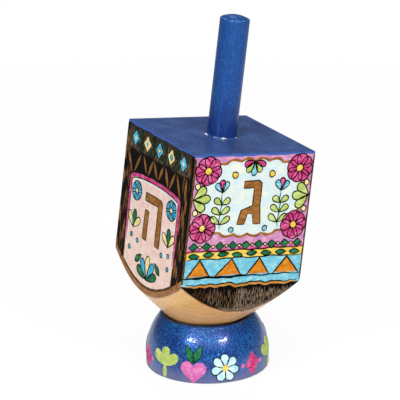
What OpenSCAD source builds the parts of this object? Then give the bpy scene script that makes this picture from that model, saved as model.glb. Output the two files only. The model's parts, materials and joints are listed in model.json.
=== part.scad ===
// Spinning top with four flat sides, leaning in a small turned stand.
// Millimetres, +Z up. The origin is the centre of the stand's flat base.
// At rest the front flat side looks along -Y and the left flat side along -X.

/* [Body] */
// Width of the square body across its flat sides
body_w = 46; // [38:0.5:56]
// Length of the upright corner edges, from the top face to the turned end
edge_l = 45; // [30:0.5:70]
// Rounding of the upright corner edges
edge_round = 0.6; // [0.2:0.1:3]
// Rounding of the edges round the top face
top_round = 0.5; // [0.2:0.1:3]
// Slope of the turned end at the feet of the corner edges, in degrees from level
end_slope = 48; // [42:0.5:56]
// Radius of the turned end's curve, seen from the side
end_curve_r = 137; // [100:1:260]
// Rounding of the spinning tip
tip_round = 1.4; // [0.6:0.1:4]

/* [Stem] */
// Diameter of the dowel
stem_d = 10; // [6:0.5:16]
// Length of the dowel that stands out of the top face, to the crest of its domed end
stem_l = 41; // [20:0.5:70]
// Height of the dome on the dowel's end
stem_dome = 1.3; // [0.3:0.1:3]
// Depth of the dowel's blind socket in the body
socket_depth = 20; // [8:1:36]
// Room for glue between the dowel and the wall of its socket
glue_gap = 0.05; // [0.02:0.01:0.2]
// Rounding of the dowel's top edge
stem_round = 0.6; // [0.2:0.1:2]

/* [Stand] */
// Largest diameter of the stand
stand_d = 41.7; // [32:0.1:52]
// Distance of the rim's crest in from the widest part of the stand
rim_inset = 5.9; // [3:0.1:8]
// Radius of the rounded rim
rim_round = 1.4; // [0.8:0.1:2.4]
// Height at which the upright side starts to curve in to the rim
shoulder_h = 4.5; // [3:0.1:12]
// Rounding of the foot, round the flat base
foot_round = 1.2; // [0.3:0.1:2.5]
// Thickness of the wood under the deepest point of the dish
dish_floor = 8; // [3:0.1:20]

/* [Seat] */
// Lean of the top in its stand, in degrees from upright
lean = 6.9; // [0:0.1:9]
// Direction that it leans in, in degrees from +X towards +Y
lean_direction = -9; // [-180:1:180]
// Room between the turned end and the rim where they come closest
seat_gap = 0.25; // [0.1:0.05:0.8]
// Height of the spinning tip above the deepest point of the dish
tip_room = 1.8; // [1.2:0.1:5]

/* [Hidden] */
$fn = 128;

wood_colour = "burlywood";
paint_colour = "royalblue";

// Overshoot of cutting tools past the faces that they cut
cut_past = 1;
// Lap of the outline's arcs over each other and over straight sides, so that they join without a step
arc_lap = 0.01;

// Turned end, in the top's own frame: z = 0 is the centre of its top face, r is the distance
// from its axis. One arc runs from the feet of the corner edges to the rounded tip.
half_w = body_w / 2;
corner_reach = half_w * sqrt(2) - edge_round * (sqrt(2) - 1);
end_centre_r = corner_reach - end_curve_r * sin(end_slope);
end_centre_z = end_curve_r * cos(end_slope) - edge_l;
tip_arm = end_curve_r - tip_round + arc_lap;
tip_centre_z = end_centre_z - sqrt(pow(tip_arm, 2) - pow(end_centre_r, 2));
tip_join_z = end_centre_z + (tip_centre_z - end_centre_z) * end_curve_r / tip_arm;
body_l = tip_round - tip_centre_z;

// Stem, in the same frame. A small arc rounds the edge between its side and its dome.
stem_r = stem_d / 2;
socket_r = stem_r + glue_gap;
dome_r = (pow(stem_r, 2) + pow(stem_dome, 2)) / (2 * stem_dome);
dome_centre = [0, stem_l - dome_r];
dome_edge_r = stem_r - stem_round;
dome_edge_arm = dome_r - stem_round + arc_lap;
dome_edge = [dome_edge_r, dome_centre[1] + sqrt(pow(dome_edge_arm, 2) - pow(dome_edge_r, 2))];
dome_join = join_point(dome_centre, dome_edge, dome_r);

// Seat, in the plane of the lean: the first number runs along the lean, the second is height
// above the middle of the rounded rim. The arcs on both sides of the turned end lie seat_gap
// away from the rim on their side.
stand_r = stand_d / 2;
rim_r = stand_r - rim_inset;
rim_reach = end_curve_r + rim_round + seat_gap;
seat_arm = [rim_r - end_centre_r * cos(lean), end_centre_r * sin(lean)];
seat_rise = sqrt(pow(rim_reach / norm(seat_arm), 2) - 1);
top_along = -seat_arm[1] * seat_rise - end_centre_z * sin(lean);
top_over_rim = seat_arm[0] * seat_rise - end_centre_z * cos(lean);
tip_under_rim = tip_round - tip_centre_z * cos(lean) - top_over_rim;

// Stand, in the half plane of its outline. One arc runs from the upright side to the outside of
// the rounded rim, and another from the inside of the rim down to the bottom of the dish.
rim_centre = [rim_r, dish_floor + tip_room + tip_under_rim];
rim_core = rim_round - 2 * arc_lap;
top_z = rim_centre[1] + top_over_rim;
shoulder_rise = rim_centre[1] - shoulder_h;
shoulder_r = (pow(rim_inset, 2) + pow(shoulder_rise, 2) - pow(rim_core, 2))
    / (2 * (rim_inset - rim_core));
shoulder_centre = [stand_r - shoulder_r, shoulder_h];
shoulder_join = join_point(shoulder_centre, rim_centre, shoulder_r);
dish_drop = rim_centre[1] - dish_floor;
dish_r = (pow(rim_r, 2) + pow(dish_drop, 2) - pow(rim_core, 2)) / (2 * (dish_drop + rim_core));
dish_centre = [0, dish_floor + dish_r];
dish_join = join_point(dish_centre, rim_centre, dish_r);

// Point of an arc that lies on the line from its centre to another point
function join_point(centre, other, r) = centre + (other - centre) * r / norm(other - centre);

// Puts a child that is drawn in the top's own frame into its leaning place in the stand
module leaning() {
    rotate([0, 0, lean_direction])
        translate([top_along, 0, top_z])
            rotate([0, lean, 0])
                rotate([0, 0, -lean_direction])
                    children();
}

// Square with round corners, centred on the origin
module rounded_square(size, r) {
    square([size - 2 * r, size], center = true);
    square([size, size - 2 * r], center = true);
    for (x = [-1, 1], y = [-1, 1])
        translate([x * (size / 2 - r), y * (size / 2 - r)])
            circle(r);
}

// Upright slab as wide as the body, whose two long top edges are rounded
module round_topped_slab() {
    rotate([90, 0, 0])
        linear_extrude(2 * body_w, center = true) {
            translate([-half_w, -body_l - cut_past])
                square([body_w, body_l + cut_past - top_round]);
            translate([top_round - half_w, -body_l - cut_past])
                square([body_w - 2 * top_round, body_l + cut_past]);
            for (x = [-1, 1])
                translate([x * (half_w - top_round), -top_round])
                    circle(top_round);
        }
}

// Solid inside the turned end's curve, with its rounded tip
module turned_solid() {
    rotate_extrude() {
        intersection() {
            translate([end_centre_r, end_centre_z])
                circle(end_curve_r);
            translate([0, tip_join_z])
                square([2 * body_w, cut_past - tip_join_z]);
        }
        intersection() {
            translate([0, tip_centre_z])
                circle(tip_round);
            translate([0, -body_l])
                square([tip_round, 2 * tip_round]);
        }
    }
}

// Square block of wood, turned to a blunt point at its lower end and bored for the stem
module body() {
    color(wood_colour)
        leaning()
            difference() {
                intersection() {
                    turned_solid();
                    round_topped_slab();
                    rotate([0, 0, 90])
                        round_topped_slab();
                    translate([0, 0, -body_l - cut_past])
                        linear_extrude(body_l + 2 * cut_past)
                            rounded_square(body_w, edge_round);
                }
                translate([0, 0, -socket_depth])
                    cylinder(h = socket_depth + cut_past, r = socket_r);
            }
}

// Outline of the dowel from its axis outwards
module stem_outline() {
    translate([0, -socket_depth])
        square([stem_r, socket_depth + dome_edge[1]]);
    intersection() {
        translate(dome_centre)
            circle(dome_r);
        polygon([
            [0, dome_edge[1]],
            dome_edge,
            dome_join,
            [dome_join[0], stem_l + cut_past],
            [0, stem_l + cut_past]
        ]);
    }
    translate(dome_edge)
        circle(stem_round);
}

// Dowel that is glued into the body and turned between the fingers
module stem() {
    color(paint_colour)
        leaning()
            rotate_extrude()
                stem_outline();
}

// Outline of the stand from its axis outwards
module stand_outline() {
    difference() {
        union() {
            translate([0, foot_round])
                square([stand_r, shoulder_h - foot_round]);
            square([stand_r - foot_round, shoulder_h]);
            translate([stand_r - foot_round, foot_round])
                circle(foot_round);
            polygon([[0, 0], [rim_r, 0], rim_centre, dish_join, [0, dish_join[1]]]);
        }
        translate(dish_centre)
            circle(dish_r);
    }
    intersection() {
        translate(shoulder_centre)
            circle(shoulder_r + arc_lap);
        polygon([
            [rim_r, shoulder_h],
            [stand_r, shoulder_h],
            [stand_r, shoulder_join[1]],
            shoulder_join,
            rim_centre
        ]);
    }
    translate(rim_centre)
        circle(rim_round);
}

// Turned stand with a shallow dish that the blunt end of the top sits in
module stand() {
    color(paint_colour)
        rotate_extrude()
            stand_outline();
}

body();
stem();
stand();
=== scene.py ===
"""Looks of a painted spinning top with four flat sides that leans in its turned stand.

Lengths are in millimetres until a mesh is made. On a flat side, u runs to the right and v up as one
looks at it, and v is 0 at the top face. On the stand, u runs round it and v up its outline.
"""

import functools
import json
import math
import random

import bmesh
import bpy
import numpy as np
from mathutils import Matrix, Vector


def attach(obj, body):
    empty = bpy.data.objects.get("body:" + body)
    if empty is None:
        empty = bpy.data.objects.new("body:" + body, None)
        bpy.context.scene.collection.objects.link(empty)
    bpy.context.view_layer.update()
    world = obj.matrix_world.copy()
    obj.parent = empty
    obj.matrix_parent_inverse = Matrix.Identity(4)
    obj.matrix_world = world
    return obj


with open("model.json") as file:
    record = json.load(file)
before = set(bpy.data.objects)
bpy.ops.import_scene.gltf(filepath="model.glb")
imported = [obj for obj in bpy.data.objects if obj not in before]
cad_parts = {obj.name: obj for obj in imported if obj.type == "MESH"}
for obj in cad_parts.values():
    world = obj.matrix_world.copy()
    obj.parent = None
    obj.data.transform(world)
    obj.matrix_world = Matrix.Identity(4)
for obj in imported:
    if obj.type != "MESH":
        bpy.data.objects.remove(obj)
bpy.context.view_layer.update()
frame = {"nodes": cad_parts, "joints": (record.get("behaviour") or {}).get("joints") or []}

MM = 0.001
dice = random.Random(11)

# Camera of the photograph
LOOK_AT = (-2.04, 1.14, 58.17)
CAMERA_AZIMUTH = -29.23
CAMERA_ELEVATION = 17.83
CAMERA_DISTANCE = 1004.2
CAMERA_ROLL = -0.2
LENS = 270
SENSOR = 36

# Lamps: swing from the camera's azimuth, elevation, width, height, power, and whether surfaces mirror them
LAMPS = {
    "lamp_left": (-35, 30.5, 320, 85, 5.0, True),
    "lamp_right": (35, 30.5, 320, 85, 5.0, True),
    "lamp_front": (0, 38, 1300, 700, 4.2, True),
    "lamp_overhead": (0, 80, 420, 420, 4.6, True),
    "lamp_back": (180, 35, 600, 300, 5.0, False),
}
LAMP_DISTANCE = 1100
ROOM_LIGHT = 0.05

# Floor that sweeps up to a low backdrop. Far out it throws less light back on the object, and there the
# camera sees nothing but its own white.
FLOOR_SIDES = 96
FLOOR_FLAT = 1500
SWEEP_RADIUS = 900
SWEEP_ANGLE = 60
FLOOR_DROP = 0.02
FLOOR_NEAR = 160
FLOOR_FAR = 420
NEAR_WHITE = 0.86
FAR_WHITE = 0.3
CAMERA_GLOW = 0.93
MIRROR_GLOW = 0.1

# Paint: how far a shell reaches under the surface, and how high each kind of stroke stands. Strokes of one
# kind stand a step apart, in turn. A field laps under the next one and stays clear of the side's foot.
# A dab's sloping rim starts at a share of its reach.
SINK = 0.03
GROUND = 0.04
FIELD = 0.07
MOTIF = 0.10
INK = 0.13
STROKE_STEP = 0.0012
STROKE_CYCLE = 16
INK_WIDTH = 0.4
FIELD_LAP = 0.12
FOOT_CLEAR = 0.03
DAB_RIM = 0.86
SHARP_ANGLE = 35

# Each paint where it is thick, as it mostly is, and where it is thin or mixed with what lies beside it
COLOURS = {
    "lilac": ("B47CBA", "C987AE", "E1B3CC"),
    "mint": ("C4DFE8", "D4E2DF", "ECEAD8"),
    "brown": ("75481C", "96622C", "B07E46"),
    "ink": ("080605", "0C0907", "1A1512"),
    "dark": ("040302", "080604", "140E0A"),
    "bark": ("6A441F", "855A30", "A0713F"),
    "umber": ("3E2815", "54381F", "6A4A2C"),
    "clay": ("8A5E3C", "9E6E46", "B4855C"),
    "soot": ("54463A", "6A594A", "806E5E"),
    "ash": ("726352", "897866", "A0907E"),
    "olive": ("25231A", "332F22", "463F2D"),
    "khaki": ("40382A", "524731", "675A40"),
    "forest": ("0F2418", "183524", "28503A"),
    "green": ("165434", "206F46", "469268"),
    "lime": ("98B44C", "B4C86C", "D6E09C"),
    "magenta": ("AC2762", "CA4480", "E282AE"),
    "rose": ("BA549A", "D56FAE", "E6A0CC"),
    "pink": ("E8C0B0", "F0D2C6", "F4E2DA"),
    "yellow": ("DCAA38", "ECCA54", "F2DE90"),
    "cream": ("E2C66C", "F3E09A", "F7ECC4"),
    "turquoise": ("58AECA", "78BFD2", "A6DCE2"),
    "sky": ("2694C6", "48B4DA", "8AD2E6"),
    "pale_blue": ("96CEE0", "BFE4EC", "E2F2F2"),
    "orange": ("BC6414", "CF7E1E", "DF9B3E"),
    "ochre": ("A06A2C", "C08238", "D49C58"),
    "chalk": ("D8D6CE", "EDEBE2", "F4F3EE"),
}
STAND_BLUES = ("1E1C60", "1A438E", "2C84CC")
STEM_BLUES = ("1A2864", "21509A", "3884C8")
# The top face's blues: the stem's paint made greyer, a painted sheen for its reflection at a grazing angle
TOP_BLUES_WITH_PAINTED_SHEEN = ("222852", "344880", "567CB0")
# Lighter blue of a painted highlight along the top face's round edges
EDGE_HIGHLIGHT_BLUE = "3C5BA6"
# Near-black of a painted shadow along the stand's crest, where the top sits in it
PAINTED_SHADOW_BLUE = "060A20"
# Paler greyish blue of a painted reflection of the white floor on the stand's foot
PAINTED_REFLECTION_BLUE = "7276A0"
VIOLET_BLUE = "22327A"
# Pale blue of worn edges, and of painted highlights on the stem's end
WEAR_AND_HIGHLIGHT_BLUE = "86A9D4"
WOODS = ("D69C56", "E5B16D", "F0C98F")
TREE_HEART = (31.0, 44.0, 0.0)

# Heights where a fading colour starts and where nothing else is left, on the stem and at the stand's foot,
# where the paler blue is a painted reflection of the white floor
STEM_FADE = (22.0, 0.0)
STAND_PAINTED_REFLECTION = (7.2, 1.4)


# Frame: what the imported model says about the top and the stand

UP = Vector((0, 0, 1))
spin = frame["joints"][0]
top_origin = Vector(spin["pos_m"])
top_turn = UP.rotation_difference(Vector(spin["axis"]))
TOP_PLACE = Matrix.LocRotScale(top_origin, top_turn, None)
STAND_PLACE = Matrix.Identity(4)


def node_points(node, place):
    """A CAD node's points in millimetres, in the frame that place puts into the model."""
    back = place.inverted()
    return np.array([back @ v.co for v in frame["nodes"][node].data.vertices]) / MM


body_points = node_points("body", TOP_PLACE)
half_w = body_points[:, 0].max()
on_flat = body_points[:, 0] > half_w - 0.001
flat_half = body_points[on_flat, 1].max()
edge_round = half_w - flat_half
top_round = -body_points[on_flat, 2].max()
corner_u = flat_half + edge_round * math.pi / 4


def turned_end_profile():
    """Radius and height of points down the turned end, from the tip outwards."""
    reach = np.abs(body_points[:, :2]).max(axis=1)
    turned = body_points[(reach < half_w - 0.01) & (body_points[:, 2] < -flat_half)]
    radius = np.hypot(turned[:, 0], turned[:, 1])
    order = np.argsort(radius)
    return radius[order], turned[order, 2]


end_radius, end_height = turned_end_profile()
stem_points = node_points("stem", TOP_PLACE)
stem_r = np.hypot(stem_points[:, 0], stem_points[:, 1]).max()
stem_end = stem_points[:, 2].max()
stand_points = node_points("stand", STAND_PLACE)
stand_r = np.hypot(stand_points[:, 0], stand_points[:, 1]).max()
stand_top = stand_points[:, 2].max()


def stand_profile():
    """Length along the stand's outline from its foot, with the radius and height there."""
    normals = np.array([v.normal for v in frame["nodes"]["stand"].data.vertices])
    radius = np.hypot(stand_points[:, 0], stand_points[:, 1])
    outward = (stand_points[:, :2] * normals[:, :2]).sum(axis=1) / np.maximum(radius, 1)
    outside = outward > 0.2
    rows = sorted({(round(z, 3), round(r, 3)) for r, z in zip(radius[outside], stand_points[outside, 2])})
    height, radius = np.array(rows).T
    length = np.concatenate([[0], np.cumsum(np.hypot(np.diff(radius), np.diff(height)))])
    return length, radius, height


outline_length, outline_radius, outline_height = stand_profile()


# Surfaces that paint goes on

def side_surface(normal):
    """Function of (u, v, lift) that gives a point on one flat side, and round its corners past the flat."""
    out = Vector(normal)
    right = UP.cross(out)

    def point(u, v, lift):
        turn = max(0.0, abs(u) - flat_half) / edge_round
        along = min(abs(u), flat_half) + (edge_round + lift) * math.sin(turn)
        depth = flat_half + (edge_round + lift) * math.cos(turn)
        return out * depth + right * math.copysign(along, u) + UP * v

    return point


def side_foot(u):
    """Height at which a flat side ends and the turned end starts."""
    corner = side_surface((0, -1, 0))(u, 0, 0)
    return float(np.interp(math.hypot(corner.x, corner.y), end_radius, end_height))


def stand_surface(u, v, lift):
    """Point on the outside of the stand; u = 0 faces the camera."""
    angle = math.radians(CAMERA_AZIMUTH - 90) + u / stand_r
    step = 0.2
    radius = np.interp((v, v - step, v + step), outline_length, outline_radius)
    height = np.interp((v, v - step, v + step), outline_length, outline_height)
    slope = math.atan2(radius[1] - radius[2], height[2] - height[1])
    reach = radius[0] + lift * math.cos(slope)
    return Vector((reach * math.cos(angle), reach * math.sin(angle), height[0] + lift * math.sin(slope)))


# Materials

def linear(code):
    """Scene colour of a six-digit colour code."""
    shares = [int(code[i:i + 2], 16) / 255 for i in (0, 2, 4)]
    return [s / 12.92 if s <= 0.04045 else ((s + 0.055) / 1.055) ** 2.4 for s in shares] + [1.0]


class Finish:
    """A material and the nodes that vary it over the surface."""

    def __init__(self, name, roughness, specular):
        self.material = bpy.data.materials.new(name)
        self.material.use_nodes = True
        self.tree = self.material.node_tree
        self.shader = self.tree.nodes["Principled BSDF"]
        self.shader.inputs["Roughness"].default_value = roughness
        self.shader.inputs["Specular IOR Level"].default_value = specular

    def node(self, kind, settings=None, **inputs):
        """Adds a node. Each input is a value or another node's socket, named in_0, in_1 and so on."""
        made = self.tree.nodes.new("ShaderNode" + kind)
        for key, value in (settings or {}).items():
            setattr(made, key, value)
        for key, value in inputs.items():
            socket = made.inputs[int(key.split("_")[1])]
            if isinstance(value, bpy.types.NodeSocket):
                self.tree.links.new(value, socket)
            else:
                socket.default_value = value
        return made

    def feed(self, name, socket):
        self.tree.links.new(socket, self.shader.inputs[name])

    def coordinates(self, leaning=False):
        """Place on the piece in millimetres. A leaning CAD node is first set upright."""
        place = self.node("TexCoord").outputs["Object"]
        if leaning:
            shifted = self.node("VectorMath", {"operation": "SUBTRACT"}, in_0=place, in_1=top_origin)
            axis, angle = top_turn.to_axis_angle()
            settings = {"rotation_type": "AXIS_ANGLE", "invert": True}
            place = self.node("VectorRotate", settings, in_0=shifted.outputs[0], in_2=axis, in_3=angle)
            place = place.outputs[0]
        return self.node("VectorMath", {"operation": "SCALE"}, in_0=place, in_3=1 / MM).outputs[0]

    def stretched(self, place, scale):
        return self.node("VectorMath", {"operation": "MULTIPLY"}, in_0=place, in_1=scale).outputs[0]

    def noise(self, place, scale, detail=3.0, rough=0.55):
        return self.node("TexNoise", in_0=place, in_2=scale, in_3=detail, in_4=rough).outputs[0]

    def maths(self, operation, first, second=0.0):
        return self.node("Math", {"operation": operation}, in_0=first, in_1=second).outputs[0]

    def plus(self, first, second, times):
        """First number and a multiple of the second."""
        return self.maths("ADD", first, self.maths("MULTIPLY", second, times))

    def length(self, place):
        return self.node("VectorMath", {"operation": "LENGTH"}, in_0=place).outputs["Value"]

    def axes(self, place):
        return self.node("SeparateXYZ", in_0=place).outputs

    def blend(self, first, second, share):
        """Weighted mean of two numbers."""
        return self.node("Mix", {"data_type": "FLOAT"}, in_0=share, in_2=first, in_3=second).outputs[0]

    def step(self, value, low, high, first=0.0, last=1.0):
        """Goes from first to last as a value goes from low to high."""
        return self.node("MapRange", in_0=value, in_1=low, in_2=high, in_3=first, in_4=last).outputs[0]

    def ramp(self, share, codes, spread):
        """Three colours, the second one at a share of a half and the others a spread away."""
        made = self.node("ValToRGB", in_0=share)
        elements = made.color_ramp.elements
        elements.new(0.5)
        for element, code, k in zip(elements, codes, (-1, 0, 1)):
            element.position = 0.5 + k * spread
            element.color = linear(code)
        return made.outputs[0]

    def mix(self, share, first, second):
        settings = {"data_type": "RGBA"}
        return self.node("Mix", settings, in_0=share, in_6=first, in_7=second).outputs[2]

    def bump(self, height, strength, depth, layer="Normal"):
        made = self.node("Bump", in_0=strength, in_1=depth * MM, in_3=height)
        self.feed(layer, made.outputs[0])


@functools.cache
def paint(colour):
    """Hand-laid paint of one colour, with streaks of the brush and patches where it is thinner."""
    finish = Finish("paint_" + colour, roughness=0.5, specular=0.04)
    place = finish.coordinates()
    swirl = finish.node("TexNoise", in_0=place, in_2=0.09).outputs[1]
    settings = {"operation": "MULTIPLY_ADD"}
    bent = finish.node("VectorMath", settings, in_0=swirl, in_1=(9, 9, 9), in_2=place).outputs[0]
    streaks = finish.noise(finish.stretched(bent, (0.3, 0.3, 1.2)), 1.5)
    patches = finish.noise(place, 0.4, 2.0)
    share = finish.blend(streaks, patches, 0.45)
    finish.feed("Base Color", finish.ramp(share, COLOURS[colour], 0.16))
    finish.bump(streaks, strength=0.6, depth=0.1)
    return finish.material


def blue_colour(finish, place, codes, brush, spread):
    """Mottled blue, calmer with a wider spread, and the height of its brush marks."""
    marks = finish.noise(finish.stretched(place, brush), 1.0, 4.0, 0.62)
    patches = finish.noise(place, 0.14, 2.0)
    grain = finish.noise(place, 2.4, 2.0, 0.6)
    share = finish.blend(finish.blend(marks, patches, 0.25), grain, 0.35)
    specks = finish.step(finish.noise(place, 2.2, 1.0), 0.55, 0.75)
    flecks = finish.step(finish.noise(place, 1.9, 2.0), 0.64, 0.72)
    colour = finish.mix(flecks, finish.ramp(share, codes, spread), linear(codes[2]))
    return colour, finish.blend(finish.blend(marks, grain, 0.7), specks, 0.5)


def wear_and_highlight_ring(finish, place, radius, height, width):
    """1 in scattered places along a round edge, 0 elsewhere."""
    out = finish.length(finish.stretched(place, (1, 1, 0)))
    section = finish.node("CombineXYZ", in_0=out, in_1=finish.axes(place)[2]).outputs[0]
    away = finish.node("VectorMath", {"operation": "DISTANCE"}, in_0=section, in_1=(radius, height, 0.0))
    painted_edge_highlight = finish.plus(away.outputs["Value"], finish.noise(place, 0.9, 3.0, 0.65), 2.2 * width)
    return finish.step(painted_edge_highlight, 1.7 * width, 1.2 * width)


def blue_paint(name, codes, leaning, brush, spread, relief, pearl, coat, rings=(), fades=()):
    """Pearly blue paint over brush marks, drawn out where a brush number is small, and paler in rings along
    round edges, which are wear at the stand's foot and painted highlights on the stem's end.

    Each fade gives a colour, the height where it starts and the height where nothing else is left.
    """
    finish = Finish(name, roughness=0.3, specular=0.15)
    finish.shader.inputs["Metallic"].default_value = pearl
    finish.shader.inputs["Coat Weight"].default_value = coat
    finish.shader.inputs["Coat Roughness"].default_value = 0.04
    place = finish.coordinates(leaning)
    colour, height = blue_colour(finish, place, codes, brush, spread)
    for ring in rings:
        colour = finish.mix(wear_and_highlight_ring(finish, place, *ring), colour, linear(WEAR_AND_HIGHLIGHT_BLUE))
    up = finish.axes(place)[2]
    for code, start, end in fades:
        uneven_up = finish.plus(up, finish.noise(place, 0.3, 3.0, 0.65), 0.5 * (start - end))
        colour = finish.mix(finish.step(uneven_up, start, end), colour, linear(code))
    finish.feed("Base Color", colour)
    finish.bump(height, strength=0.8, depth=relief)
    finish.bump(height, strength=0.15, depth=relief, layer="Coat Normal")
    return finish.material


def wood_colour(finish, place):
    """Pale wood: growth rings round a distant heart, fine fibres along the grain and soft patches."""
    warp = finish.noise(finish.stretched(place, (1, 1, 0.25)), 0.06, 2.0)
    shifted = finish.node("VectorMath", {"operation": "ADD"}, in_0=place, in_1=TREE_HEART).outputs[0]
    radius = finish.length(finish.stretched(shifted, (1, 1, 0.04)))
    waves = finish.plus(finish.maths("MULTIPLY", radius, 1.9), warp, 22.0)
    rings = finish.step(finish.maths("SINE", waves), -1.0, 1.0)
    fibres = finish.noise(finish.stretched(place, (1, 1, 0.05)), 1.6, 3.0, 0.6)
    turning = finish.noise(finish.stretched(place, (0.04, 0.04, 1.0)), 1.4, 3.0, 0.6)
    patches = finish.noise(place, 0.1, 2.0)
    grain = finish.blend(finish.blend(rings, fibres, 0.85), turning, 0.4)
    colour = finish.ramp(finish.blend(grain, patches, 0.4), WOODS, 0.2)
    return colour, finish.blend(fibres, turning, 0.5)


def body_finish():
    """Bare varnished wood, blue on the top face with a painted highlight of lighter blue along its edges,
    and a smear of dark paint along the feet of the sides.
    """
    finish = Finish("body_wood_and_paint", roughness=0.26, specular=0.35)
    place = finish.coordinates(leaning=True)
    wood, fibres = wood_colour(finish, place)
    # The top face's blue carries a painted sheen: greyer than the stem's same paint
    blue, marks = blue_colour(finish, place, TOP_BLUES_WITH_PAINTED_SHEEN, (1.5, 2.6, 1.0), 0.1)
    hand = finish.noise(place, 0.5, 2.0)
    x, y, up = finish.axes(place)
    across = finish.maths("MAXIMUM", finish.maths("ABSOLUTE", x), finish.maths("ABSOLUTE", y))
    smear = finish.step(finish.plus(across, hand, 0.9), half_w - 0.25, half_w + 0.25)
    # Painted highlight: a lighter blue line along the top face's round edges, where they catch the light
    painted_edge_highlight = finish.step(finish.plus(across, hand, 0.6), half_w - 0.1, half_w + 0.25)
    blue = finish.mix(painted_edge_highlight, blue, linear(EDGE_HIGHLIGHT_BLUE))
    topped = finish.step(finish.maths("ADD", up, hand), -0.8, -0.6)
    colour = finish.mix(smear, wood, linear(COLOURS["bark"][1]))
    finish.feed("Base Color", finish.mix(topped, colour, blue))
    finish.feed("Roughness", finish.blend(0.13, 0.28, topped))
    finish.bump(finish.blend(fibres, marks, topped), strength=0.25, depth=0.08)
    return finish.material


# Brush strokes

class Canvas:
    """Paint on one surface, gathered as thin closed shells and made into one piece."""

    def __init__(self, name, surface, rings=1):
        self.name = name
        self.surface = surface
        self.rings = rings
        self.points = []
        self.faces = []
        self.face_colours = []
        self.colours = []
        self.strokes = 0

    def lifted(self, lift):
        """Height of the next stroke, so that strokes which cross never share a plane."""
        self.strokes += 1
        return lift + STROKE_STEP * (self.strokes % STROKE_CYCLE)

    def shell(self, points, faces, colour):
        first = len(self.points)
        self.points += [self.surface(*p) for p in points]
        self.faces += [[first + i for i in face] for face in faces]
        if colour not in self.colours:
            self.colours.append(colour)
        self.face_colours += [self.colours.index(colour)] * len(faces)

    def strip(self, pairs, colour, lift):
        """Strip of paint between two rows of points, given as pairs."""
        high = self.lifted(lift)
        points = []
        for a, b in pairs:
            points += [(*a, high), (*b, high), (*b, -SINK), (*a, -SINK)]
        last = len(points) - 4
        faces = [[3, 2, 1, 0], [last, last + 1, last + 2, last + 3]]
        for i in range(0, last, 4):
            faces += ring_faces(i, i + 4, 4)
        self.shell(points, faces, colour)

    def band(self, upper, lower, colour, lift, reach=None):
        """Field between two curves v(u), cut off at the foot of the side. It laps under the next one."""
        reach = reach or corner_u
        corner = [flat_half + (corner_u - flat_half) * k / 3 for k in range(4)]
        inner = np.arange(-int(flat_half), flat_half, 0.75)
        columns = sorted([*inner, *corner, *[-c for c in corner]])
        columns = [-reach] + [u for u in columns if abs(u) < reach - 0.01] + [reach]
        pairs = []
        for u in columns:
            low = max(lower(u) - FIELD_LAP, side_foot(u) + FOOT_CLEAR + lift - GROUND)
            pairs.append(((u, max(upper(u), low + FOOT_CLEAR)), (u, low)))
        self.strip(pairs, colour, lift)

    def line(self, path, width, colour, lift, taper=0.35):
        """Brush line along a path, thinner towards both ends."""
        count = len(path)
        wave = hand_wave(0.18, 6.0)
        pairs = []
        for i, (u, v) in enumerate(path):
            (u0, v0), (u1, v1) = path[max(0, i - 1)], path[min(count - 1, i + 1)]
            length = math.hypot(u1 - u0, v1 - v0) or 1.0
            end = min(1.0, 6 * min(i, count - 1 - i) / count)
            half = width / 2 * (taper + (1 - taper) * end) * (1 + wave(i))
            across = (-(v1 - v0) / length * half, (u1 - u0) / length * half)
            pairs.append(((u + across[0], v + across[1]), (u - across[0], v - across[1])))
        self.strip(pairs, colour, lift)

    def dab(self, outline, colour, lift=MOTIF, crown=0.03):
        """Touch of paint, thickest in its middle. Every point of its outline is seen from its middle."""
        high = self.lifted(lift)
        count = len(outline)
        middle = middle_of(outline)
        shares = [1.0] + [DAB_RIM * (1 - k / self.rings) for k in range(self.rings)]
        rings = [(1.0, high * 0.5)] + [(s, high + crown * (1 - s * s)) for s in shares[1:]]
        rings += [(s, -SINK) for s in shares]
        points = [(*between(middle, p, share), height) for share, height in rings for p in outline]
        points += [(*middle, high + crown), (*middle, -SINK)]
        below = len(shares) * count
        inner = below - count
        faces = ring_faces(0, below, count)
        for k in range(0, inner, count):
            faces += ring_faces(k, k + count, count)
            faces += ring_faces(below + k + count, below + k, count)
        for i in range(count):
            n = (i + 1) % count
            faces.append([inner + i, inner + n, len(points) - 2])
            faces.append([below + inner + n, below + inner + i, len(points) - 1])
        self.shell(points, faces, colour)

    def plate(self, outline, colour, lift):
        """Flat patch of any outline, for flat sides."""
        high = self.lifted(lift)
        count = len(outline)
        points = [(u, v, high) for u, v in outline] + [(u, v, -SINK) for u, v in outline]
        faces = [list(range(count)), list(range(2 * count - 1, count - 1, -1))]
        self.shell(points, faces + ring_faces(0, count, count), colour)

    def ink(self, outline, width=INK_WIDTH):
        """Dark line round an outline, begun at any point and run a little past its start."""
        start = dice.randrange(len(outline))
        loop = [outline[(start + i) % len(outline)] for i in range(len(outline) + 2)]
        du, dv = dice.uniform(-0.07, 0.07), dice.uniform(-0.07, 0.07)
        self.line([(u + du, v + dv) for u, v in loop], width, "ink", INK, taper=0.5)

    def piece(self, body, place):
        """Makes the piece and lets it ride on a body."""
        mesh = new_mesh(self.name, self.points, self.faces)
        for colour in self.colours:
            mesh.materials.append(paint(colour))
        mesh.polygons.foreach_set("material_index", self.face_colours)
        finish_mesh(mesh)
        add_piece(self.name, mesh, body, place)


def ring_faces(first, second, count):
    """Faces between two rings of points, each given by the number of its first point."""
    turns = [(i, (i + 1) % count) for i in range(count)]
    return [[first + i, first + n, second + n, second + i] for i, n in turns]


def new_mesh(name, points, faces):
    mesh = bpy.data.meshes.new(name)
    mesh.from_pydata([p * MM for p in points], [], faces)
    return mesh


def new_object(name, data):
    made = bpy.data.objects.new(name, data)
    bpy.context.scene.collection.objects.link(made)
    return made


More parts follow.
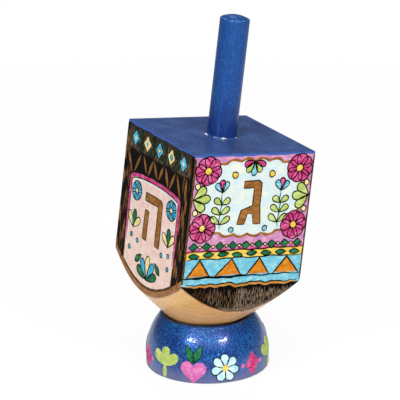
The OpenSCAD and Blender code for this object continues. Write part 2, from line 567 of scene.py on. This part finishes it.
def finish_mesh(mesh):
    """Turns all faces outwards and shades them smoothly but for sharp edges."""
    work = bmesh.new()
    work.from_mesh(mesh)
    bmesh.ops.recalc_face_normals(work, faces=work.faces)
    work.to_mesh(mesh)
    work.free()
    mesh.polygons.foreach_set("use_smooth", [True] * len(mesh.polygons))
    mesh.set_sharp_from_angle(angle=math.radians(SHARP_ANGLE))
    mesh.update()


def add_piece(name, mesh, body, place):
    piece = new_object(name, mesh)
    piece.matrix_world = place
    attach(piece, body)
    return piece


def hand_wave(size, period):
    """Slow random wave of a line drawn by hand, as a function of the length along it."""
    waves = [(period, 0.6), (period * 0.43, 0.4)]
    phases = [dice.uniform(0, 2 * math.pi) for _ in waves]

    def wave(length):
        return size * sum(share * math.sin(2 * math.pi * length / p + phase)
                          for (p, share), phase in zip(waves, phases))

    return wave


def level(height, size=0.25, tilt=0.4):
    """Nearly level hand-drawn line at a height, as a function of u."""
    wave = hand_wave(size, 14.0)
    rise = dice.uniform(-tilt, tilt) / (2 * half_w)
    return lambda u: height + wave(u) + rise * u


# Outlines of motifs, drawn upwards from (0, 0) unless they are centred there

def middle_of(outline):
    return [sum(p[k] for p in outline) / len(outline) for k in (0, 1)]


def between(start, end, share):
    """Point at a share of the way from one point to another."""
    return start[0] + (end[0] - start[0]) * share, start[1] + (end[1] - start[1]) * share


def straight(start, end, count=9):
    """Points along a straight stroke."""
    return [between(start, end, share) for share in np.linspace(0, 1, count)]


def angles(count):
    """Angles at equal steps round a full turn."""
    return [2 * math.pi * i / count for i in range(count)]


def uneven(outline, size):
    """Moves an outline's points a little in and out, as a hand does."""
    first, second = [dice.uniform(0, 2 * math.pi) for _ in range(2)]
    middle = middle_of(outline)
    waves = [math.sin(2 * a + first) + math.sin(3 * a + second) for a in angles(len(outline))]
    return [between(middle, p, 1 + size * wave / 2) for p, wave in zip(outline, waves)]


def moved(outline, at, turn=0.0, size=1.0):
    """Outline turned left by an angle in degrees, scaled, and put in its place."""
    c, s = math.cos(math.radians(turn)) * size, math.sin(math.radians(turn)) * size
    return [(at[0] + c * u - s * v, at[1] + s * u + c * v) for u, v in outline]


def on_half(hand, at):
    """Place on the left (-1) or right (1) half of a side."""
    return hand * at[0], at[1]


def disc(radius, steps=14):
    return uneven([(radius * math.cos(a), radius * math.sin(a)) for a in angles(steps)], 0.07)


def almond(length, width, steps=8):
    """Leaf with a point at each end."""
    shares = [i / steps for i in range(steps + 1)]
    right = [(width / 2 * math.sin(math.pi * s ** 0.9), length * s) for s in shares]
    left = [(-u, v) for u, v in right[-2:0:-1]]
    return uneven(right + left, 0.06)


def teardrop(length, width, steps=18):
    """Stroke of a round brush: a point at its foot and a round head."""
    outline = []
    for a in angles(steps):
        across = math.sin(a) * abs(math.sin(a / 2)) ** 1.3
        outline.append((width * 0.65 * across, length * (1 - math.cos(a)) / 2))
    return uneven(outline, 0.05)


def diamond(width, height):
    corners = [(0, -height / 2), (width / 2, 0), (0, height / 2), (-width / 2, 0)]
    return uneven(refined(corners, width / 3), 0.05)


def heart(width, steps=26):
    """The common heart curve, whose formula gives it a width of 32."""
    outline = []
    for a in angles(steps):
        u = 16 * math.sin(a) ** 3
        v = 13 * math.cos(a) - 5 * math.cos(2 * a) - 2 * math.cos(3 * a) - math.cos(4 * a)
        outline.append((width / 32 * u, width / 32 * v))
    return uneven(outline, 0.04)


def refined(corners, step):
    """Outline with more points on its straight stretches."""
    outline = []
    for (u0, v0), (u1, v1) in zip(corners, corners[1:] + corners[:1]):
        count = max(1, round(math.hypot(u1 - u0, v1 - v0) / step))
        outline += straight((u0, v0), (u1, v1), count + 1)[:-1]
    return outline


def lobed(half_width, half_height, lobes, depth, steps=180):
    """Rounded rectangle whose edge is a row of scallops."""
    outline = []
    for a in angles(steps):
        c, s = math.cos(a), math.sin(a)
        reach = (abs(c) ** 3.2 + abs(s) ** 3.2) ** (-1 / 3.2)
        reach *= 1 + depth * (abs(math.cos(lobes * a / 2)) - 0.5)
        outline.append((half_width * reach * c, half_height * reach * s))
    return outline


# Game marks, one for each side, as plain strokes: height about 11 mm
GIMEL = [[(-2.5, 5.4), (1.5, 5.4), (2.3, 4.7), (2.3, -0.8), (3.0, -5.4), (1.0, -5.4), (0.5, -2.9),
          (-0.8, -2.7), (-1.5, -5.4), (-3.5, -5.4), (-2.7, -1.9), (0.3, -0.8), (0.3, 3.5), (-2.5, 3.5)]]
HE = [[(-4.1, 5.6), (3.2, 5.6), (4.0, 4.8), (4.0, -5.6), (2.0, -5.6), (2.0, 3.7), (-4.1, 3.7)],
      [(-3.7, 1.4), (-1.9, 1.4), (-1.9, -5.6), (-3.7, -5.6)]]
SHIN = [[(-4.7, 5.2), (-2.8, 5.2), (-2.3, -3.0), (-1.0, -3.2), (-0.9, 3.6), (0.9, 3.6), (1.0, -3.2),
         (1.7, -3.0), (2.9, 5.2), (4.8, 5.2), (3.5, -4.3), (2.4, -5.2), (-2.7, -5.2), (-3.8, -4.3)]]
NUN = [[(-1.9, 5.4), (1.5, 5.4), (2.3, 4.6), (2.3, -5.4), (-3.0, -5.4), (-3.0, -3.5), (0.3, -3.5),
        (0.3, 3.5), (-1.9, 3.5)]]


class Side:
    """One flat side and the four layers of paint on it."""

    def __init__(self, name, normal):
        surface = side_surface(normal)
        self.ground = Canvas(name + "_ground", surface)
        self.ornament = Canvas(name + "_ornament", surface)
        self.lines = Canvas(name + "_ink", surface)
        self.mark = Canvas(name + "_mark", surface)

    def motif(self, outline, colour, inked=True, lift=MOTIF):
        self.ornament.dab(outline, colour, lift)
        if inked:
            self.lines.ink(outline)

    def flower(self, at, radius, petals, colour, heart_colour, turn=0.0):
        """Ring of petals round a small disc."""
        width = 2.3 * radius * math.sin(math.pi / petals)
        for k in range(petals):
            petal = moved(teardrop(radius, width), at, turn + 360 * k / petals)
            self.motif(petal, colour)
        self.motif(moved(disc(radius * 0.26), at), heart_colour, lift=MOTIF + 0.03)

    def fan(self, at, colours, length, width, turn, spread):
        """Teardrops that spread from one point."""
        middle = (len(colours) - 1) / 2
        for k, colour in enumerate(colours):
            reach = length * (1 - 0.07 * abs(k - middle))
            self.motif(moved(teardrop(reach, width), at, turn + spread * (middle - k)), colour)

    def sprig(self, foot, height, lean, leaf, bud, pairs=3):
        """Upright stalk with pairs of leaves and a bud of three petals."""
        wave = hand_wave(0.3, 9.0)
        path = [(foot[0] + wave(s * height), foot[1] + s * height) for s in np.linspace(0, 1, 16)]
        self.lines.line(path, INK_WIDTH, "green", INK)
        for k in range(pairs):
            u, v = path[2 + k * 4]
            for hand in (-1, 1):
                self.motif(moved(teardrop(4.4 - 0.4 * k, 2.2), (u, v), -hand * 54), leaf)
        self.fan(path[-1], (bud[0], bud[1], bud[0]), length=4.4, width=2.2, turn=lean, spread=34)

    def letters(self, strokes, at, size):
        """The side's game mark in brown, with a dark line round it."""
        for corners in strokes:
            outline = moved(uneven(refined(corners, 0.8), 0.03), at, dice.uniform(-2, 2), size)
            self.mark.plate(outline, "brown", MOTIF)
            self.lines.ink(outline, 0.36)

    def brushed(self, colours, boxes, length, width, gap):
        """Upright dabs of a dry brush that fill boxes (left, right, top, foot)."""
        for left, right, top, foot in boxes:
            u = left
            while u < right:
                v = top - dice.uniform(0, length)
                while v > foot:
                    reach = length * dice.uniform(0.55, 1.2)
                    low = max(v - reach, side_foot(u) + 0.4, foot)
                    if v - low > width:
                        dash = almond(v - low, width * dice.uniform(0.6, 1.2))
                        stroke = moved(dash, (u, low), dice.uniform(-5, 5))
                        self.ornament.dab(stroke, dice.choice(colours), FIELD, 0.02)
                    v -= reach + length * dice.uniform(0.1, gap)
                u += width * dice.uniform(0.9, 1.6)

    def pieces(self):
        for canvas in (self.ground, self.ornament, self.lines, self.mark):
            canvas.piece("top", TOP_PLACE)


# Banded sides: a scalloped field over strips, a frieze of teeth and a dark brushed foot
FIELD_FOOT = -29.2
STRIP_TOP = -32.9
FRIEZE_TOP = -35.6
FRIEZE_FOOT = -42.0
STRIPS_FOOT = -45.0
BRUSHED_FOOT = -54.0
PAINT_TOP = -top_round - 0.35
FIELD_HALVES = (18.6, 12.9)
FIELD_SCALLOPS = 22
FLOWERS = ((17.4, -5.5), (17.4, -25.0))
FLOWER_R = 4.9
LEAVES_U = 22.0
SPRIG_FOOT = (11.2, -25.6)
SPRIG_TALL = 12.6
SPRIG_LEAN = 6
TOP_FAN = (0.0, -2.6)
LOZENGES = 9
TEETH = 4
TEETH_MARGIN = 0.4
OCHRE_HALF = 21.3
BANDED_MARK = (0.4, -16.7)
BANDED_MARK_SIZE = 1.4

# Dots on the field: place, radius and colour, which the last ones share with the buds
FIELD_DOTS = (((20.8, -10.6), 1.0, "cream"), ((20.8, -19.6), 1.0, "cream"), ((7.0, -7.2), 1.1, "yellow"))
BUD_DOT = ((6.4, -25.8), 0.9)

# Dabs on the dark foot: colours, left and right end, top under the strips, length, width and gap
FOOT_DABS = ((("umber",), -18, -8, 0.6, 3.0, 0.3, 2.4),
             (("soot", "umber"), -12, 20, 0.6, 3.4, 0.3, 0.5),
             (("ash", "soot"), -2, 20, 0.8, 2.6, 0.26, 0.4))


def banded_side(side, looks, mark):
    edges = {name: level(height) for name, height in (
        ("strip", STRIP_TOP), ("frieze", FRIEZE_TOP), ("foot", FRIEZE_FOOT), ("dark", STRIPS_FOOT))}
    edges["top"] = level(PAINT_TOP, 0.2, 0.2)
    side.ground.band(edges["top"], edges["strip"], looks["ground"], GROUND)
    side.ground.band(edges["strip"], edges["frieze"], looks["strip"], GROUND)
    side.ground.band(edges["frieze"], edges["dark"], looks["frieze"], GROUND)
    side.ground.band(edges["dark"], side_foot, "dark", GROUND)
    scalloped_field(side, looks, (0.0, (PAINT_TOP + FIELD_FOOT) / 2))
    lozenge_strip(side, looks, (FIELD_FOOT + STRIP_TOP) / 2 - 0.3)
    frieze_of_teeth(side, looks, edges)
    strip_lines(side, looks, edges)
    dark_foot(side, edges["dark"])
    dark_edges(side)
    side.letters(mark, BANDED_MARK, BANDED_MARK_SIZE)


def strip_lines(side, looks, edges):
    """Ink along the strips' edges, bolder under the first teeth, and a bright line over the strips."""
    across = np.linspace(-corner_u, corner_u, 70)
    for name, width in (("strip", 0.4), ("frieze", 0.35), ("foot", 0.4)):
        side.lines.line([(u, edges[name](u)) for u in across], width, "ink", INK)
    bold = [(u, edges["foot"](u)) for u in np.linspace(-corner_u, 4, 40)]
    side.lines.line(bold, 0.8, "ink", INK, taper=0.4)
    bright = [(u, edges["strip"](u) + 0.4) for u in across]
    side.ornament.line(bright, 0.5, looks["flower"], FIELD, taper=0.8)


def dark_foot(side, edge):
    """Wavy ochre line under the strips, and grey and brown dabs of a dry brush on the dark paint below."""
    wave = hand_wave(0.35, 9.0)
    low = [(u, edge(u) + wave(u)) for u in np.linspace(-OCHRE_HALF, OCHRE_HALF, 70)]
    side.ornament.line(low, 0.85, "ochre", MOTIF)
    side.lines.line([(u, v + 0.55) for u, v in low], 0.42, "ink", INK)
    for colours, left, right, under, *dab in FOOT_DABS:
        side.brushed(colours, [(left, right, STRIPS_FOOT - under, BRUSHED_FOOT)], *dab)
    rim = [(u, side_foot(u) + 0.45) for u in np.linspace(-8, 20, 40)]
    side.ornament.line(rim, 0.8, "soot", FIELD, taper=0.3)


def dark_edges(side):
    """Brown paint of the next sides that laps round both corners."""
    heights = np.linspace(PAINT_TOP - 0.4, side_foot(corner_u) + 0.8, 40)
    for hand in (-1, 1):
        wave = hand_wave(0.12, 6.0)
        lap = [(hand * flat_half + wave(v), v) for v in heights]
        side.ornament.line(lap, 0.4, "umber", FIELD, taper=0.8)
        corner = [(hand * (flat_half + corner_u) / 2, v) for v in heights]
        side.ornament.line(corner, corner_u - flat_half, "umber", MOTIF, taper=0.9)


def scalloped_field(side, looks, centre):
    """Pale field with a scalloped brown edge, flowers in its corners and sprigs beside the mark."""
    outline = moved(lobed(*FIELD_HALVES, FIELD_SCALLOPS, depth=0.07), centre)
    side.ground.dab(outline, looks["field"], FIELD, crown=0.0)
    side.ornament.line(outline + outline[:2], 0.85, "brown", MOTIF, taper=0.9)
    leaf = looks["leaf"]
    middle, ends = looks["bud"]
    for hand in (-1, 1):
        for at in FLOWERS:
            side.flower(on_half(hand, at), FLOWER_R, 8, looks["flower"], "yellow", dice.uniform(0, 40))
        foot = (hand * LEAVES_U, centre[1])
        side.fan(foot, (leaf, leaf, leaf), length=6.4, width=3.2, turn=hand * 90, spread=42)
        side.sprig(on_half(hand, SPRIG_FOOT), SPRIG_TALL, -hand * SPRIG_LEAN, leaf, looks["bud"])
        for at, radius, colour in (*FIELD_DOTS, (*BUD_DOT, middle)):
            side.motif(moved(disc(radius), on_half(hand, at)), colour)
    side.fan(TOP_FAN, (ends, leaf, middle, leaf, ends), length=5.0, width=2.3, turn=180, spread=36)


def lozenge_strip(side, looks, v):
    """Row of lozenges with dots between them."""
    pitch = 2 * flat_half / LOZENGES
    for k in range(LOZENGES):
        u = -flat_half + pitch * (k + 0.5)
        side.motif(moved(diamond(3.3, 2.9), (u, v), dice.uniform(-6, 6)), looks["lozenge"])
        if k:
            side.motif(moved(disc(0.55, 10), (u - pitch / 2, v)), "cream")


def frieze_of_teeth(side, looks, edges):
    """Teeth between strokes of ink, under a row of leaves."""
    pitch = 2 * (flat_half - TEETH_MARGIN) / TEETH
    strip_v = (STRIP_TOP + FRIEZE_TOP) / 2
    for k in range(TEETH):
        middle = -flat_half + TEETH_MARGIN + pitch * (k + 0.5)
        u = middle + dice.uniform(-0.6, 0.6)
        half = pitch * dice.uniform(0.36, 0.43)
        tip = (u + dice.uniform(-1.3, 1.3), edges["frieze"](u) - 0.5)
        corners = [(u + hand * half, edges["foot"](u + hand * half) + 0.5) for hand in (-1, 1)]
        side.motif(uneven(refined([*corners, tip], 0.9), 0.03), looks["tooth"], inked=False)
        for hand, (foot_u, foot_v) in zip((-1, 1), corners):
            stroke = straight((tip[0] - hand * 0.3, tip[1] + 0.5), (foot_u + hand * 0.3, foot_v - 0.3))
            side.lines.line(stroke, 0.5, "ink", INK, taper=0.5)
        for share in (0.25, 0.75):
            at = (middle + pitch * (share - 0.5) - 2.1, strip_v - 0.1)
            side.motif(moved(almond(4.2, 1.7), at, -90 + dice.uniform(-9, 9)), "green")


# Panelled sides: a pale arched panel in a dark brushed border under a row of gems
GEMS = 5
GEM_V = -4.9
GEM_MARGIN = 2
GEM_BAND_FOOT = -8.7
BORDER_TOP = -1.5
BORDER_FOOT = -48
PANEL_HALF = 16.6
PANEL_SHOULDER = -18.2
PANEL_RISE = 2.2
PANEL_FOOT_GAP = 2.3
ARCH_LINES_END = -40
HATCH_LEAN = 25
PANEL_FAN = (0.0, -49.6)
PANEL_FLOWER = (11.9, -22.0)
PANEL_BUD = (12.2, -34.6)
PANEL_LEAF = (8.6, -45.6)
PANEL_DOTS = ((8.4, -38.4), (12.8, -37.4), (13.2, -41.8))
PANELLED_MARK = (0.3, -28.8)
PANELLED_MARK_SIZE = 1.45


def panelled_side(side, looks, mark):
    top = level(PAINT_TOP, 0.2, 0.2)
    band_foot = level(GEM_BAND_FOOT, 0.5)
    side.ground.band(top, side_foot, "dark", GROUND)
    side.ground.band(lambda u: top(u) - 0.2, band_foot, looks["band"], GROUND + 0.01, flat_half - 1.2)
    side.ground.band(lambda u: panel_foot(u) - 0.2, side_foot, "clay", GROUND + 0.01)
    wide = flat_half - 0.3
    side.brushed(("khaki", "soot"), [(1 - wide, wide - 1, PAINT_TOP - 0.6, GEM_BAND_FOOT)], 3.6, 0.7, 0.8)
    gem_row(side, looks)
    borders = [(left, right, BORDER_TOP, BORDER_FOOT)
               for left, right in ((-wide, -PANEL_HALF - 0.9), (PANEL_HALF + 1.1, wide))]
    side.brushed(("bark", "umber"), borders, 7.5, 1.3, 1.0)
    side.brushed(("bark", "umber"), borders, 5.0, 0.5, 4.5)
    hatches(side)
    arched_panel(side, looks)
    side.letters(mark, PANELLED_MARK, PANELLED_MARK_SIZE)


def gem_row(side, looks):
    """Lozenges in two colours, with beads above and below between them."""
    pitch = 2 * (flat_half - GEM_MARGIN) / GEMS
    for k in range(GEMS):
        u = -flat_half + GEM_MARGIN + pitch * (k + 0.5)
        gem = moved(diamond(5.4, 5.8), (u, GEM_V), dice.uniform(-7, 7))
        side.motif(gem, looks["gems"][k % 2])
        side.motif(moved(diamond(1.9, 2.2), (u, GEM_V)), looks["gems"][(k + 1) % 2], lift=MOTIF + 0.03)
        if k:
            for v in (GEM_V + 0.2, GEM_V - 3.7):
                side.motif(moved(almond(3.4, 2.3), (u - pitch / 2, v)), "forest")


def hatches(side):
    """Zigzag of slim strokes between the row of gems and the panel."""
    u = -PANEL_HALF
    hand = 1
    while u < PANEL_HALF:
        foot = panel_top(u) + dice.uniform(0.6, 1.1)
        tall = GEM_BAND_FOOT - 0.4 - foot
        lean = math.radians(HATCH_LEAN + dice.uniform(-4, 4))
        stroke = almond(tall / math.cos(lean), dice.uniform(1.2, 1.6))
        side.ornament.dab(moved(stroke, (u, foot), hand * math.degrees(lean)), "bark", FIELD, 0.02)
        u += dice.uniform(0.8, 1.3)
        if hand < 0:
            u += 2 * tall * math.tan(lean)
        hand = -hand


def panel_top(u):
    return PANEL_SHOULDER + PANEL_RISE * math.sqrt(max(0.0, 1 - (u / PANEL_HALF) ** 2))


def panel_foot(u):
    return side_foot(u) + PANEL_FOOT_GAP


def panel_arch(inset):
    """Path up one side of the panel, over its arch and down the other, at a distance within its edge."""
    half = PANEL_HALF - inset
    arch = [(u, panel_top(u * PANEL_HALF / half) - inset)
            for u in half * np.sin(np.linspace(-math.pi / 2, math.pi / 2, 40))]
    down = np.linspace(PANEL_SHOULDER - inset - 0.8, ARCH_LINES_END, 24)
    return [(-half, v) for v in reversed(down)] + arch + [(half, v) for v in down]


def arched_panel(side, looks):
    """Pale panel with flowers, under bright, dark and white lines, with a brown line along its foot."""
    wave = hand_wave(0.2, 11.0)
    side.ground.band(lambda u: panel_top(u) + wave(u), lambda u: panel_foot(u) + wave(u + 5),
                     looks["panel"], FIELD, PANEL_HALF)
    side.ornament.line(panel_arch(0.0), 1.1, looks["line"], MOTIF, taper=0.4)
    side.ornament.line(panel_arch(1.25), 0.6, "chalk", MOTIF, taper=0.3)
    side.lines.line(panel_arch(0.75), INK_WIDTH, "ink", INK, taper=0.3)
    foot = [(u, panel_foot(u)) for u in np.linspace(-PANEL_HALF, PANEL_HALF, 50)]
    down = np.linspace(ARCH_LINES_END - 0.5, panel_foot(PANEL_HALF) + 0.5, 9)
    path = [(-PANEL_HALF, v) for v in down] + foot + [(PANEL_HALF, v) for v in reversed(down)]
    side.ornament.line(path, 0.8, "umber", MOTIF, taper=0.4)
    first, second, third = looks["petals"]
    side.fan(PANEL_FAN, (third, first, second, first, third), length=8.4, width=3.0, turn=0, spread=33)
    for hand in (-1, 1):
        side.flower(on_half(hand, PANEL_FLOWER), 3.3, 6, first, second, dice.uniform(0, 60))
        foot = on_half(hand, PANEL_BUD)
        side.fan(foot, (second, third, second), length=6.2, width=2.6, turn=hand * 6, spread=42)
        side.motif(moved(almond(5.2, 2.1), on_half(hand, PANEL_LEAF), hand * 50), third)
        for at in PANEL_DOTS:
            side.motif(moved(disc(0.75, 10), on_half(hand, at)), first)


# Paints of the four sides
FRONT = {"ground": "lilac", "field": "mint", "flower": "magenta", "leaf": "lime",
         "bud": ("turquoise", "magenta"), "lozenge": "green", "strip": "yellow", "frieze": "turquoise",
         "tooth": "orange"}
BACK = {"ground": "turquoise", "field": "pink", "flower": "orange", "leaf": "green",
        "bud": ("magenta", "yellow"), "lozenge": "magenta", "strip": "lime", "frieze": "lilac",
        "tooth": "yellow"}
LEFT = {"band": "olive", "gems": ("sky", "cream"), "panel": "pink", "line": "magenta",
        "petals": ("sky", "cream", "green")}
RIGHT = {"band": "olive", "gems": ("rose", "lime"), "panel": "mint", "line": "orange",
         "petals": ("magenta", "yellow", "green")}


def paint_sides():
    for name, normal, make, looks, mark in (
            ("front", (0, -1, 0), banded_side, FRONT, GIMEL), ("left", (-1, 0, 0), panelled_side, LEFT, HE),
            ("back", (0, 1, 0), banded_side, BACK, SHIN), ("right", (1, 0, 0), panelled_side, RIGHT, NUN)):
        side = Side(name, normal)
        make(side, looks, mark)
        side.pieces()


# Stand: four motifs in turn round its foot, each several times
STAND_TURNS = 3
STAND_START = -1.45
DAISY_PETALS = 7
DAISY_V = 6.0
STAND_GEM_V = 5.6
stand_ornament = Canvas("stand_ornament", stand_surface, rings=4)
stand_lines = Canvas("stand_ink", stand_surface)


def paint_stand():
    motifs = (stand_trefoil, stand_heart, stand_daisy, stand_gem)
    pitch = 2 * math.pi * stand_r / (STAND_TURNS * len(motifs))
    for k in range(STAND_TURNS * len(motifs)):
        motifs[k % len(motifs)](STAND_START * pitch + k * pitch)
    stand_ornament.piece("stand", STAND_PLACE)
    stand_lines.piece("stand", STAND_PLACE)


def stand_trefoil(u):
    for turn in (-48, 0, 48):
        stand_ornament.dab(moved(teardrop(6.8, 3.8), (u, 5.0), turn), "lime")
    stand_ornament.dab(moved(almond(5.4, 1.8), (u, 0.6)), "lime")


def stand_heart(u):
    stand_ornament.dab(moved(heart(9.0), (u, 4.9)), "rose")
    for turn in (-26, 26):
        leaf = moved(almond(6.6, 2.6), (u, 7.8), turn)
        stand_ornament.dab(leaf, "green")
        stand_lines.ink(leaf, 0.25)


def stand_daisy(u):
    for k in range(DAISY_PETALS):
        petal = moved(teardrop(4.9, 3.1), (u, DAISY_V), 360 * k / DAISY_PETALS)
        stand_ornament.dab(petal, "pale_blue")
        stand_lines.ink(petal, 0.28)
    stand_ornament.dab(moved(disc(1.2), (u, DAISY_V)), "yellow", MOTIF + 0.04)


def stand_gem(u):
    stand_ornament.dab(moved(diamond(6.4, 8.6), (u, STAND_GEM_V)), "magenta")
    for hand in (-1, 1):
        stand_ornament.dab(moved(disc(0.8, 10), (u + hand * 4.2, STAND_GEM_V)), "rose")


# Foot of the stem: an uneven bead of paint and a few pale lumps of dried glue
BEAD_R = 0.22
BEAD_STEPS = 96
BEAD_SIDES = 8

# Lumps: direction from the stem's axis, in degrees, and radius. Each stands off and rises by a share of it.
LUMP_SHARE = 0.8
LUMPS = ((246, 0.55), (239, 0.2), (252, 0.3), (258, 0.16), (214, 0.26), (221, 0.16),
         (168, 0.34), (160, 0.22), (176, 0.18), (304, 0.2), (60, 0.24), (66, 0.16))


def stem_bead():
    bead_wave = hand_wave(0.16, 2.2)
    points = []
    faces = []
    for i, a in enumerate(angles(BEAD_STEPS)):
        thick = BEAD_R + bead_wave(stem_r * a) * math.sin(a / 2)
        for b in angles(BEAD_SIDES):
            reach = stem_r + thick * math.cos(b)
            points.append(Vector((reach * math.cos(a), reach * math.sin(a), thick * math.sin(b))))
        faces += ring_faces(i * BEAD_SIDES, (i + 1) % BEAD_STEPS * BEAD_SIDES, BEAD_SIDES)
    mesh = new_mesh("stem_foot_bead", points, faces)
    blue = blue_paint("bead_blue", STEM_BLUES, leaning=False, brush=(1, 1, 1), spread=0.2, relief=0.05,
                      pearl=0.3, coat=0.2)
    mesh.materials.append(blue)
    finish_mesh(mesh)
    add_piece("stem_foot_bead", mesh, "top", TOP_PLACE)


def stem_lumps():
    lumps = Canvas("stem_foot_chips", lambda u, v, lift: Vector((u, v, lift)))
    for angle, radius in LUMPS:
        a = math.radians(angle)
        reach = stem_r + BEAD_R + LUMP_SHARE * radius
        at = (reach * math.cos(a), reach * math.sin(a))
        lumps.dab(moved(uneven(disc(radius, 9), 0.4), at), "chalk", GROUND, LUMP_SHARE * radius)
    lumps.piece("top", TOP_PLACE)


# Stage

def floor():
    profile = [(FLOOR_FLAT + SWEEP_RADIUS * math.sin(a), SWEEP_RADIUS * (1 - math.cos(a)) - FLOOR_DROP)
               for a in np.radians(np.linspace(0, SWEEP_ANGLE, 13))]
    points = [Vector((r * math.cos(a), r * math.sin(a), z))
              for r, z in profile for a in angles(FLOOR_SIDES)]
    faces = [list(range(FLOOR_SIDES))]
    for k in range(0, FLOOR_SIDES * (len(profile) - 1), FLOOR_SIDES):
        faces += ring_faces(k, k + FLOOR_SIDES, FLOOR_SIDES)
    mesh = new_mesh("floor", points, faces)
    mesh.materials.append(floor_finish())
    new_object("floor", mesh)


def floor_finish():
    """White floor. Part of its white is its own, by the kind of ray, and the rest keeps the shadow."""
    finish = Finish("floor_white", roughness=1.0, specular=0.0)
    away = finish.length(finish.coordinates())
    rays = finish.node("LightPath").outputs
    seen = finish.maths("ADD", rays["Is Camera Ray"], rays["Is Transmission Ray"])
    glow = finish.maths("MULTIPLY", seen, finish.step(away, FLOOR_NEAR, FLOOR_FAR, CAMERA_GLOW, 1.0))
    share = finish.plus(glow, rays["Is Glossy Ray"], MIRROR_GLOW)
    white = finish.step(away, FLOOR_NEAR, FLOOR_FAR, NEAR_WHITE, FAR_WHITE)
    shadowed = finish.node("BsdfDiffuse", in_0=white).outputs[0]
    own = finish.node("Emission").outputs[0]
    mixed = finish.node("MixShader", in_0=share, in_1=shadowed, in_2=own).outputs[0]
    finish.tree.nodes.remove(finish.shader)
    finish.tree.links.new(mixed, finish.tree.nodes["Material Output"].inputs["Surface"])
    return finish.material


def direction(azimuth, elevation):
    """Unit vector towards a place seen at an azimuth and elevation; azimuth 0 is the -Y side."""
    a, e = math.radians(azimuth), math.radians(elevation)
    return Vector((math.sin(a) * math.cos(e), -math.cos(a) * math.cos(e), math.sin(e)))


def lamp(name, swing, elevation, width, height, power, mirrored):
    """Rectangular lamp that shines on the object from an angle beside the camera's."""
    data = bpy.data.lights.new(name, "AREA")
    data.shape = "RECTANGLE"
    data.size = width * MM
    data.size_y = height * MM
    data.energy = power
    made = new_object(name, data)
    towards = direction(CAMERA_AZIMUTH + swing, elevation)
    made.location = (Vector(LOOK_AT) + towards * LAMP_DISTANCE) * MM
    made.rotation_euler = towards.to_track_quat("Z", "Y").to_euler()
    made.visible_glossy = mirrored


def lights():
    for name, settings in LAMPS.items():
        lamp(name, *settings)
    world = bpy.data.worlds.new("room")
    world.use_nodes = True
    room = world.node_tree.nodes["Background"]
    room.inputs["Color"].default_value = (1, 1, 1, 1)
    room.inputs["Strength"].default_value = ROOM_LIGHT
    bpy.context.scene.world = world


def camera():
    data = bpy.data.cameras.new("camera")
    data.lens = LENS
    data.sensor_width = SENSOR
    made = new_object("camera", data)
    back = direction(CAMERA_AZIMUTH, CAMERA_ELEVATION)
    right = UP.cross(back).normalized()
    turn = Matrix((right, back.cross(right), back)).transposed().to_4x4()
    roll = Matrix.Rotation(math.radians(CAMERA_ROLL), 4, "Z")
    made.matrix_world = Matrix.Translation((Vector(LOOK_AT) + back * CAMERA_DISTANCE) * MM) @ turn @ roll
    bpy.context.scene.camera = made


def dress_frame():
    """Gives the CAD nodes their finishes."""
    finishes = {
        "body": body_finish(),
        # The stem's end has painted highlights: a pale line round its rim, partly wear, and a paler patch
        # over the end face
        "stem": blue_paint("stem_blue", STEM_BLUES, leaning=True, brush=(1.6, 1.6, 0.6), spread=0.4,
                           relief=0.05, pearl=0.3, coat=0.25, fades=[(VIOLET_BLUE, *STEM_FADE)],
                           rings=[(stem_r - 0.3, stem_end - 1.0, 0.4), (stem_r / 2, stem_end + 1.1, 3.0)]),
        # The stand pales towards its foot: a painted reflection of the white floor
        "stand": blue_paint("stand_blue", STAND_BLUES, leaning=False, brush=(1.6, 1.6, 1.6), spread=0.11,
                            relief=0.22, pearl=0.35, coat=0.5, rings=[(stand_r - 0.4, 0.4, 0.5)],
                            # Near black along the crest: a painted shadow where the top sits in the stand
                            fades=[(PAINTED_REFLECTION_BLUE, *STAND_PAINTED_REFLECTION), (PAINTED_SHADOW_BLUE, stand_top - 0.5, stand_top)]),
    }
    for node, material in finishes.items():
        frame["nodes"][node].material_slots[0].material = material


bpy.context.scene.view_settings.view_transform = "Standard"
camera()
lights()
floor()
dress_frame()
paint_sides()
paint_stand()
stem_bead()
stem_lumps()
